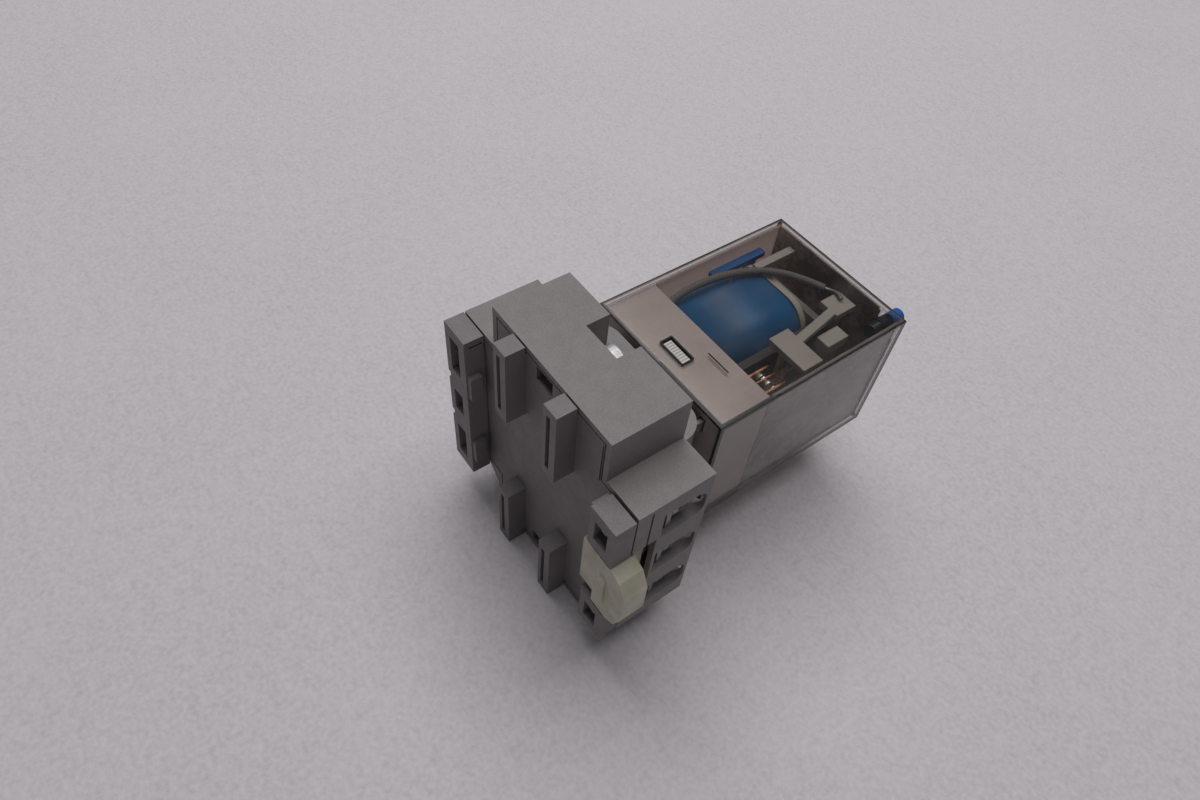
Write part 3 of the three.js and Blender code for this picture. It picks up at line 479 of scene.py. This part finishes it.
def sweep(shape, points, radius, sides=10):
    """Adds a round tube along points, with closed ends."""
    rings = []
    for index, point in enumerate(points):
        before = points[max(index - 1, 0)]
        after = points[min(index + 1, len(points) - 1)]
        along = (after - before).normalized()
        first = along.orthogonal() if not rings else along.cross(side_way)
        side_way = first.cross(along).normalized()
        up_way = along.cross(side_way).normalized()
        ring = []
        for step in range(sides):
            angle = math.tau * step / sides
            offset = side_way * math.cos(angle) + up_way * math.sin(angle)
            ring.append(shape.verts.new(point + offset * radius))
        rings.append(ring)
    for one, two in zip(rings, rings[1:]):
        for step in range(sides):
            follow = (step + 1) % sides
            shape.faces.new((one[step], one[follow], two[follow], two[step]))
    shape.faces.new(rings[0])
    shape.faces.new(list(reversed(rings[-1])))


COVER_LOW, COVER_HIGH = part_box("relay_cover")
COVER_MIDDLE = (COVER_LOW + COVER_HIGH) / 2
COLLAR_TOP = COVER_HIGH.z - 0.9 * MM     # the base's collar, under the cover's wall

# The latch window, from the cover's middle along X and from its open end along Y.
WINDOW_LEFT = -3.75 * MM
WINDOW_RIGHT = 2.6 * MM
WINDOW_NEAR = 3.6 * MM
WINDOW_FAR = 6.3 * MM
WINDOW_SHADE = 0.3 * MM       # thickness of the painted shade walls that show
WINDOW_LINER = 0.07 * MM      # and of the other two
RIB_COUNT = 9
RIB_HEIGHT = 0.16 * MM
RIB_FILL = 0.36               # half a rib's width as a part of the pitch
TONGUE_TOP = COVER_HIGH.z - 0.6 * MM
HAIR = 0.02 * MM              # keeps faces of neighbouring pieces apart

# The mark beside the latch, from the cover's middle along X and from its open end along Y.
MARK_LEFT = 3.05 * MM
MARK_RIGHT = 8.35 * MM
MARK_ALONG = 9.25 * MM
MARK_DEPTH = 0.14 * MM
MARK_RADIUS = 0.12


def flip_height(z, side):
    """Mirrors a height on the cover's top to its underside."""
    return COVER_MIDDLE.z + side * (z - COVER_MIDDLE.z)


def latch_details(side, place):
    """Painted shade as dark strips on the latch window's walls, and the ribs on the latch's tongue."""
    left, right = COVER_MIDDLE.x + WINDOW_LEFT, COVER_MIDDLE.x + WINDOW_RIGHT
    near, far = COVER_LOW.y + WINDOW_NEAR, COVER_LOW.y + WINDOW_FAR
    thick, thin = WINDOW_SHADE, WINDOW_LINER
    low = flip_height(COLLAR_TOP + HAIR, side)
    high = flip_height(COVER_HIGH.z - HAIR, side)
    shape = bmesh.new()
    # dark strips along the window's walls: painted shade
    for x0, x1, y0, y1 in (
        (left, left + thick, near, far),
        (right - thin, right, near, far),
        (left + thick, right - thin, near, near + thin),
        (left + thick, right - thin, far - thick, far),
    ):
        add_box(shape, (x0, y0, min(low, high)), (x1, y1, max(low, high)))
    new_piece(f"latch_shade_frame_{place}", "relay", shape, SHADE_BLACK)
    tongue_left, tongue_right = left + 0.5 * MM, right - 0.25 * MM
    tongue_near, tongue_far = near + 0.25 * MM, far - 0.55 * MM
    low = flip_height(TONGUE_TOP + HAIR / 2, side)
    high = flip_height(TONGUE_TOP + RIB_HEIGHT, side)
    shape = bmesh.new()
    pitch = (tongue_right - tongue_left) / RIB_COUNT
    for index in range(RIB_COUNT):
        x = tongue_left + pitch * (index + 0.5)
        half = pitch * RIB_FILL
        corner = (x - half, tongue_near, min(low, high))
        add_box(shape, corner, (x + half, tongue_far, max(low, high)))
    new_piece(f"latch_ribs_{place}", "relay", shape, LATCH_PLASTIC, bevel=0.04)


def mark_slit():
    """A slit moulded into the cover's top beside the latch window, filled with a dark strip of painted
    shade.
    """
    shape = bmesh.new()
    y = COVER_LOW.y + MARK_ALONG
    z = COVER_HIGH.z - MARK_DEPTH
    ends = [Vector((COVER_MIDDLE.x + x, y, z)) for x in (MARK_LEFT, MARK_RIGHT)]
    sweep(shape, ends, MARK_RADIUS * MM)
    new_piece("mark_slit", "relay", shape, SHADE_BLACK)


def coil_wire(name, points, radius=0.13):
    """Enamelled end wire of the winding."""
    low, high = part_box("coil_winding")
    corner = Vector((low.x, low.y, high.z))
    shape = bmesh.new()
    sweep(shape, [corner + Vector(point) * MM for point in points], radius * MM, sides=8)
    new_piece(name, "relay", shape, WIRE_ENAMEL)


# A lead's route from the base to the carrier's head: from the cover's middle along X, from its open end
# along Y, and from its top down. The sleeve ends before the head, and the bare strands go on over it.
LEAD_ROUTE = (
    (-12.3, 7.4, 5.3), (-12.3, 10.9, 4.4), (-12.4, 13.6, 2.9), (-12.6, 17, 2.1), (-12.6, 21, 2.05),
    (-12.0, 26, 2.05), (-10.8, 30.2, 2.05), (-8.8, 34, 2.05), (-5.9, 37.2, 2.05), (-2.2, 39.6, 2.05),
    (1.4, 41.1, 1.9), (2.8, 41.5, 1.6), (4.2, 41.5, 1.2), (5.8, 41.0, 1.15),
)
SLEEVE_POINTS = 11     # how many of the points the sleeve follows
SLEEVE_RADIUS = 0.75
STRAND_RADIUS = 0.4

COVER_WALL = 0.6 * MM
COIL_ROUND = 6 * MM
CORNER_STEPS = 8
TAPE_GROWTH = 0.5 * MM        # how far the tape stands over the winding
TAPE_UNDER_COLLAR = 0.4
LINING_GAP = 0.03 * MM
BUTTON_GAP = 0.4 * MM


def smooth_route(points, steps=5):
    """Catmull-Rom curve through the points."""
    ends = [points[0] * 2 - points[1], *points, points[-1] * 2 - points[-2]]
    route = []
    for p0, p1, p2, p3 in zip(ends, ends[1:], ends[2:], ends[3:]):
        for step in range(steps):
            t = step / steps
            route.append(0.5 * (
                2 * p1 + (p2 - p0) * t + (2 * p0 - 5 * p1 + 4 * p2 - p3) * t ** 2
                + (3 * p1 - p0 - 3 * p2 + p3) * t ** 3
            ))
    route.append(points[-1])
    return route


def flexible_lead(side, place):
    """Sleeved lead that arches over the coil, with its bare strands on the carrier's head."""
    points = []
    for x, y, down in LEAD_ROUTE:
        height = flip_height(COVER_HIGH.z - down * MM, side)
        points.append(Vector((COVER_MIDDLE.x + x * MM, COVER_LOW.y + y * MM, height)))
    sleeve = bmesh.new()
    sweep(sleeve, smooth_route(points[:SLEEVE_POINTS]), SLEEVE_RADIUS * MM, sides=14)
    lead = new_piece(f"lead_{place}", "relay", sleeve, SLOT_MATERIALS["lead_grey"])
    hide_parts(f"flexible_lead_{place}")
    strands = bmesh.new()
    sweep(strands, smooth_route(points[SLEEVE_POINTS - 2:]), STRAND_RADIUS * MM, sides=10)
    new_piece(f"strands_{place}", "relay", strands, SLOT_MATERIALS["steel"])


def coil_tape():
    """Outer layer of tape that wraps the winding and its near flange."""
    low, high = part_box("coil_winding")
    near = COVER_LOW.y + (COLLAR_LENGTH - TAPE_UNDER_COLLAR) * MM
    far = high.y - 0.1 * MM
    shape = bmesh.new()
    rings = []
    for y, gap in ((near, 0.0), (far - 0.2 * MM, 0.0), (far, 0.15 * MM)):
        ring = []
        radius = COIL_ROUND + TAPE_GROWTH - gap
        for corner in range(4):
            middle_x = high.x - COIL_ROUND if corner in (0, 3) else low.x + COIL_ROUND
            middle_z = high.z - COIL_ROUND if corner in (0, 1) else low.z + COIL_ROUND
            for step in range(CORNER_STEPS + 1):
                angle = math.pi / 2 * (corner + step / CORNER_STEPS)
                x = middle_x + math.cos(angle) * radius
                z = middle_z + math.sin(angle) * radius
                ring.append(shape.verts.new((x, y, z)))
        rings.append(ring)
    count = len(rings[0])
    for one, two in zip(rings, rings[1:]):
        for step in range(count):
            follow = (step + 1) % count
            shape.faces.new((one[step], one[follow], two[follow], two[step]))
    shape.faces.new(rings[0])
    shape.faces.new(list(reversed(rings[-1])))
    piece = new_piece("coil_tape", "relay", shape, SLOT_MATERIALS["coil_blue"])
    for face in piece.data.polygons:
        face.use_smooth = len(face.vertices) == 4


def height_strips(name, low, high, cut=0.0):
    """Strips above and below a lining sheet, out to two corners. The upper one is cut short at high X."""
    sheet_low, sheet_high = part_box(name)
    shape = bmesh.new()
    add_box(shape, low, (high.x, high.y, sheet_low.z - LINING_GAP))
    add_box(shape, (low.x, low.y, sheet_high.z + LINING_GAP), (high.x - cut, high.y, high.z))
    return shape


def lining_borders():
    """Strips that close the gaps between the linings and the cover's inner corners."""
    inner = COVER_WALL + 0.05 * MM
    end_low, end_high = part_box("end_panel")
    far = end_low.y - LINING_GAP
    for name, material in (
        ("side_panel", SLOT_MATERIALS["relay_panel"]),
        ("label_panel", NODE_MATERIALS["label_panel"]),
    ):
        low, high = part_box(name)
        corner_low = Vector((low.x, low.y, COVER_LOW.z + inner))
        corner_high = Vector((high.x, far, COVER_HIGH.z - inner))
        shape = height_strips(name, corner_low, corner_high)
        add_box(shape, (low.x, high.y + LINING_GAP, low.z), (high.x, far, high.z))
        new_piece(f"{name}_border", "relay", shape, material)
    button_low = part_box("test_button")[0]
    corner_low = Vector((COVER_LOW.x + inner, end_low.y, COVER_LOW.z + inner))
    corner_high = Vector((COVER_HIGH.x - inner, end_high.y, COVER_HIGH.z - inner))
    cut = corner_high.x - button_low.x + BUTTON_GAP
    shape = height_strips("end_panel", corner_low, corner_high, cut)
    add_box(
        shape,
        (corner_low.x, end_low.y, end_low.z),
        (end_low.x - LINING_GAP, end_high.y, end_high.z),
    )
    add_box(
        shape,
        (end_high.x + LINING_GAP, end_low.y, end_low.z),
        (corner_high.x, end_high.y, button_low.z - BUTTON_GAP),
    )
    new_piece("end_panel_border", "relay", shape, SLOT_MATERIALS["dark_panel"])


CORNER_STEPS = 8
TAPE_GROWTH = 0.5 * MM        # how far the tape stands over the winding
TAPE_UNDER_COLLAR = 0.4
LINING_GAP = 0.03 * MM
BUTTON_GAP = 0.4 * MM


def smooth_route(points, steps=5):
    """Catmull-Rom curve through the points."""
    ends = [points[0] * 2 - points[1], *points, points[-1] * 2 - points[-2]]
    route = []
    for p0, p1, p2, p3 in zip(ends, ends[1:], ends[2:], ends[3:]):
        for step in range(steps):
            t = step / steps
            route.append(0.5 * (
                2 * p1 + (p2 - p0) * t + (2 * p0 - 5 * p1 + 4 * p2 - p3) * t ** 2
                + (3 * p1 - p0 - 3 * p2 + p3) * t ** 3
            ))
    route.append(points[-1])
    return route


def flexible_lead(side, place):
    """Sleeved lead that arches over the coil, with its bare strands on the carrier's head."""
    points = []
    for x, y, down in LEAD_ROUTE:
        height = flip_height(COVER_HIGH.z - down * MM, side)
        points.append(Vector((COVER_MIDDLE.x + x * MM, COVER_LOW.y + y * MM, height)))
    sleeve = bmesh.new()
    sweep(sleeve, smooth_route(points[:SLEEVE_POINTS]), SLEEVE_RADIUS * MM, sides=14)
    lead = new_piece(f"lead_{place}", "relay", sleeve, SLOT_MATERIALS["lead_grey"])
    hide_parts(f"flexible_lead_{place}")
    strands = bmesh.new()
    sweep(strands, smooth_route(points[SLEEVE_POINTS - 2:]), STRAND_RADIUS * MM, sides=10)
    new_piece(f"strands_{place}", "relay", strands, SLOT_MATERIALS["steel"])


def coil_tape():
    """Outer layer of tape that wraps the winding and its near flange."""
    low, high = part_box("coil_winding")
    near = COVER_LOW.y + (COLLAR_LENGTH - TAPE_UNDER_COLLAR) * MM
    far = high.y - 0.1 * MM
    shape = bmesh.new()
    rings = []
    for y, gap in ((near, 0.0), (far - 0.2 * MM, 0.0), (far, 0.15 * MM)):
        ring = []
        radius = COIL_ROUND + TAPE_GROWTH - gap
        for corner in range(4):
            middle_x = high.x - COIL_ROUND if corner in (0, 3) else low.x + COIL_ROUND
            middle_z = high.z - COIL_ROUND if corner in (0, 1) else low.z + COIL_ROUND
            for step in range(CORNER_STEPS + 1):
                angle = math.pi / 2 * (corner + step / CORNER_STEPS)
                x = middle_x + math.cos(angle) * radius
                z = middle_z + math.sin(angle) * radius
                ring.append(shape.verts.new((x, y, z)))
        rings.append(ring)
    count = len(rings[0])
    for one, two in zip(rings, rings[1:]):
        for step in range(count):
            follow = (step + 1) % count
            shape.faces.new((one[step], one[follow], two[follow], two[step]))
    shape.faces.new(rings[0])
    shape.faces.new(list(reversed(rings[-1])))
    piece = new_piece("coil_tape", "relay", shape, SLOT_MATERIALS["coil_blue"])
    for face in piece.data.polygons:
        face.use_smooth = len(face.vertices) == 4


LINING_GAP = 0.03 * MM


def lining_border(name, low, high, skip_high_x=0.0):
    """Strips that close the gaps between a lining sheet and the cover's inner corners."""
    sheet_low, sheet_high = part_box(name)
    shape = bmesh.new()
    for z0, z1 in ((low.z, sheet_low.z - LINING_GAP), (sheet_high.z + LINING_GAP, high.z)):
        cut = skip_high_x if z0 > COVER_MIDDLE.z else 0.0
        add_box(shape, (low.x, low.y, z0), (high.x - cut, high.y, z1))
    return shape, sheet_low, sheet_high


def lining_borders():
    """Borders of the two side linings and of the end lining."""
    inner = COVER_WALL + 0.05 * MM
    end_low, end_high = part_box("end_panel")
    for name, slot, material in (
        ("side_panel", "relay_panel", SLOT_MATERIALS["relay_panel"]),
        ("label_panel", "relay_panel", NODE_MATERIALS["label_panel"]),
    ):
        low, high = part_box(name)
        far = end_low.y - LINING_GAP
        corner_low = Vector((low.x, low.y, COVER_LOW.z + inner))
        corner_high = Vector((high.x, far, COVER_HIGH.z - inner))
        shape, _, _ = lining_border(name, corner_low, corner_high)
        add_box(shape, (low.x, high.y + LINING_GAP, low.z), (high.x, far, high.z))
        new_piece(f"{name}_border", "relay", shape, material)
    button_left, button_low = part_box("test_button")[0].x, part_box("test_button")[0].z
    corner_low = Vector((COVER_LOW.x + inner, end_low.y, COVER_LOW.z + inner))
    corner_high = Vector((COVER_HIGH.x - inner, end_high.y, COVER_HIGH.z - inner))
    shape, _, _ = lining_border("end_panel", corner_low, corner_high, corner_high.x - button_left + 0.4 * MM)
    add_box(shape, (corner_low.x, end_low.y, end_low.z), (end_low.x - LINING_GAP, end_high.y, end_high.z))
    add_box(
        shape,
        (end_high.x + LINING_GAP, end_low.y, end_low.z),
        (corner_high.x, end_high.y, button_low - 0.4 * MM),
    )
    new_piece("end_panel_border", "relay", shape, SLOT_MATERIALS["dark_panel"])


COVER_WALL = 0.6 * MM
COIL_ROUND = 6 * MM
# near-black standing for shade: painted shade on the latch window's walls and in the slit beside it
SHADE_BLACK = moulded_plastic("shade_black", srgb(24, 22, 21), 0.6, grain=0.3)
LATCH_PLASTIC = moulded_plastic("latch_plastic", srgb(205, 202, 196), 0.4, grain=0.3)
WIRE_ENAMEL = moulded_plastic("wire_enamel", srgb(112, 104, 100), 0.4, grain=0.3)

for side, place in ((1, "upper"), (-1, "lower")):
    latch_details(side, place)
    flexible_lead(side, place)
coil_tape()
lining_borders()
mark_slit()
coil_wire(
    "coil_wire_long",
    [(7.2, 0.6, 0.35), (6.2, 4, 0.3), (5.4, 8, 0.3), (5.0, 11.5, 0.4), (3.8, 14, 0.5)],
)

# ---------------------------------------------------------------- floor and light


def make_floor():
    """Pale foam sheet with a fine speckle."""
    mesh = bpy.data.meshes.new("floor")
    shape = bmesh.new()
    bmesh.ops.create_grid(shape, x_segments=2, y_segments=2, size=1.2)
    shape.to_mesh(mesh)
    shape.free()
    floor = bpy.data.objects.new("floor", mesh)
    bpy.context.scene.collection.objects.link(floor)
    floor.location.z = -0.0002
    recipe = Recipe("floor", srgb(200, 196, 200), 0.85)
    speckle = recipe.noise(1000, 3)
    blotch = recipe.noise(330, 4)
    clouds = recipe.spread(recipe.noise(26, 3), 0, 1)
    base = recipe.blend(clouds, srgb(196, 191, 196), srgb(204, 199, 204))
    mottled = recipe.blend(recipe.spread(blotch, 0, 0.5), base, srgb(222, 217, 221))
    recipe.colour_from(recipe.blend(recipe.spread(speckle, 0, 0.8), mottled, srgb(222, 218, 222)))
    recipe.bump((speckle, 0.3, 0.4), (blotch, 0.5, 0.4))
    mesh.materials.append(recipe.material)


def make_light():
    """One wide soft box overhead, a little behind and to the left, in a dim room."""
    world = bpy.data.worlds.new("studio")
    world.use_nodes = True
    world.node_tree.nodes["Background"].inputs["Color"].default_value = (0.95, 0.95, 1.0, 1)
    world.node_tree.nodes["Background"].inputs["Strength"].default_value = 0.085
    bpy.context.scene.world = world
    data = bpy.data.lights.new("soft_box", "AREA")
    data.shape = "RECTANGLE"
    data.size = 1.2
    data.size_y = 0.8
    data.energy = 8.9
    data.color = (1.0, 0.985, 0.985)
    light = bpy.data.objects.new("soft_box", data)
    light.location = (-0.3, 0.2, 1.0)
    bpy.context.scene.collection.objects.link(light)


make_floor()
make_light()
